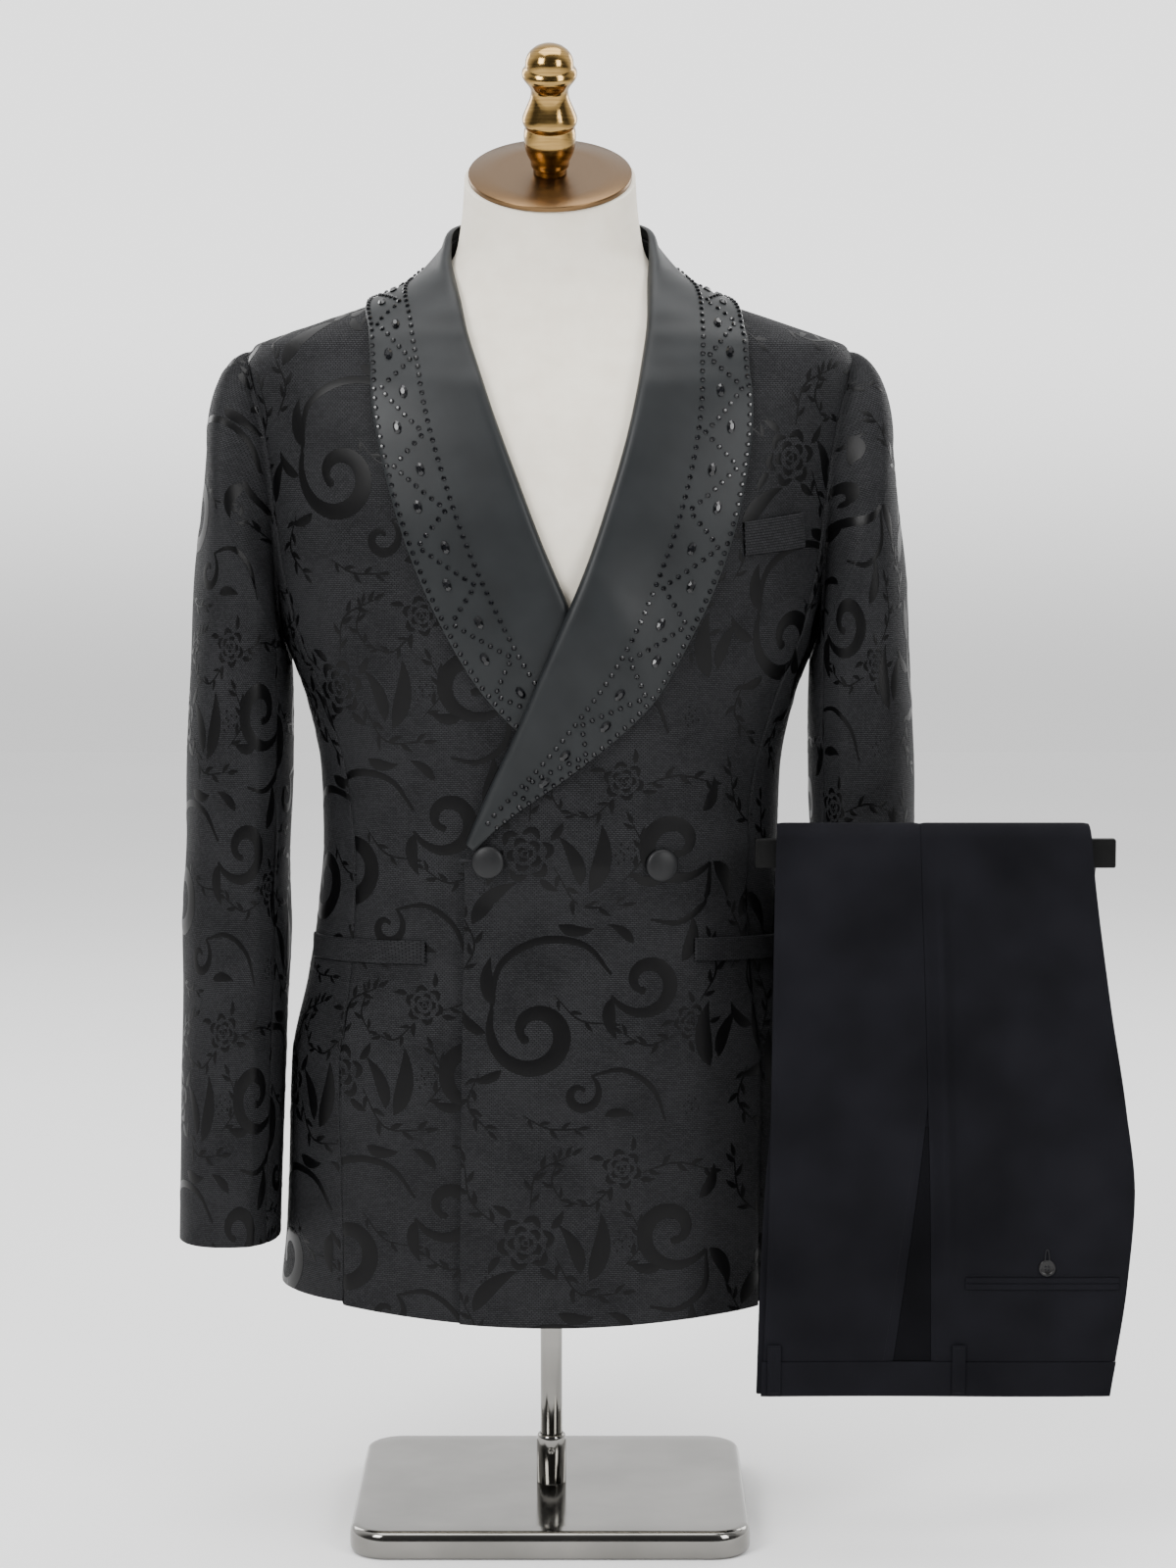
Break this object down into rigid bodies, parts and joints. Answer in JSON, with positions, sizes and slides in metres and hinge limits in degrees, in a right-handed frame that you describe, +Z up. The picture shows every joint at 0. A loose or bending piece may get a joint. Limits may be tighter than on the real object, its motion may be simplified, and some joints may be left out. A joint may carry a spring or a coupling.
{
  "type": "two-piece dinner suit on a limbless dress form with stand",
  "caption": "Double-breasted shawl-collar evening jacket worn by a limbless dress form on a weighted stand, with its trousers folded over a rail beside it.",
  "frame": {"origin": "on the floor at the middle of the base plate's underside, under the post", "axes": "+Z up, +Y towards the back of the suit, +X towards the wearer's left, where the trousers hang"},
  "size_m": [0.673, 0.2831, 1.0629],
  "materials": {
    "jacquard": "black woven jacquard, scrolls and roses in satin weave on a rough ground",
    "satin": "black duchess satin",
    "wool": "black plain-weave wool, pressed",
    "linen": "cream linen cover over a rigid form",
    "brass": "brushed cap and polished finial, lacquered",
    "chrome": "polished",
    "black_steel": "black powder coat",
    "horn": "black horn button"
  },
  "bodies": {
    "root": {"front_left": "jacquard", "front_right": "jacquard", "side_left": "jacquard", "side_right": "jacquard", "back_left": "jacquard", "back_right": "jacquard", "sleeve_upper_left": "jacquard", "sleeve_under_left": "jacquard", "sleeve_upper_right": "jacquard", "sleeve_under_right": "jacquard", "shawl_left": "satin", "shawl_right": "satin", "collar_stand": "jacquard", "hip_welt_left": "jacquard", "hip_welt_right": "jacquard", "breast_welt": "jacquard", "button_fastening": "satin", "button_pair": "satin", "form_torso": "linen", "neck_cap": "brass", "neck_finial": "brass", "base_plate": "chrome", "base_socket": "chrome", "post": "chrome", "arm_clamp": "black_steel", "rail_arm": "black_steel", "trouser_rail": "black_steel", "trouser_front": "wool", "trouser_back": "wool", "side_pocket_facing": "wool", "waistband": "wool", "belt_loop_front": "wool", "belt_loop_side": "wool", "back_pocket_jets": "wool", "back_pocket_button": "horn", "trouser_inner_layers": "wool"}
  },
  "joints": []
}
